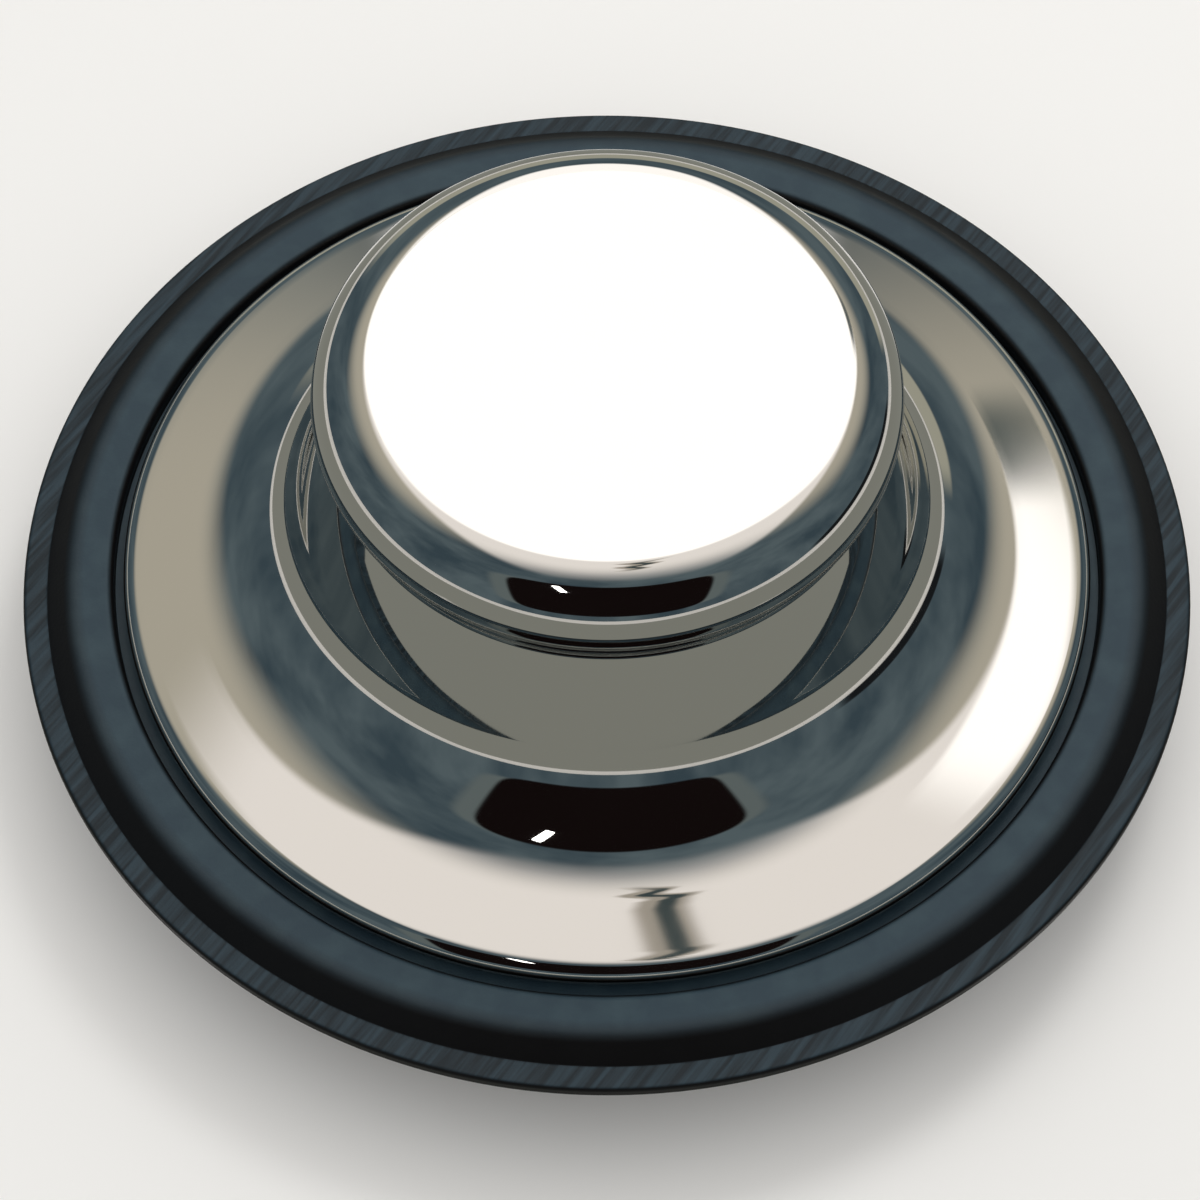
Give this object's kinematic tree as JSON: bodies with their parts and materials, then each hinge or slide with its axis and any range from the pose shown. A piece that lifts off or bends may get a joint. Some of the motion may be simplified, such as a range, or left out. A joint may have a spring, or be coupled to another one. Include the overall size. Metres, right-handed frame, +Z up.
{
  "type": "drain stopper",
  "caption": "Round kitchen drain stopper: a mirror-polished metal knob flaring to a flange on a stepped black rubber gasket, with a ribbed plug base that drops into the drain mouth.",
  "frame": {"origin": "centre of the plug base's lower edge, on the knob's axis", "axes": "+Z up along the knob's axis; X and Y level, with one rib of the plug base along +X"},
  "size_m": [0.086, 0.086, 0.035],
  "materials": {
    "polished_steel": "mirror polished",
    "black_rubber": "moulded, satin",
    "black_plastic": "moulded, fine matte",
    "brass": "turned",
    "plain_steel": "bright"
  },
  "bodies": {
    "root": {"polished_cap": "polished_steel", "rubber_gasket": "black_rubber", "plug_base": "black_plastic", "moulded_core": "black_plastic", "threaded_insert": "brass", "seal_washer": "black_rubber", "flat_washer": "plain_steel", "centre_screw": "plain_steel"}
  },
  "joints": []
}
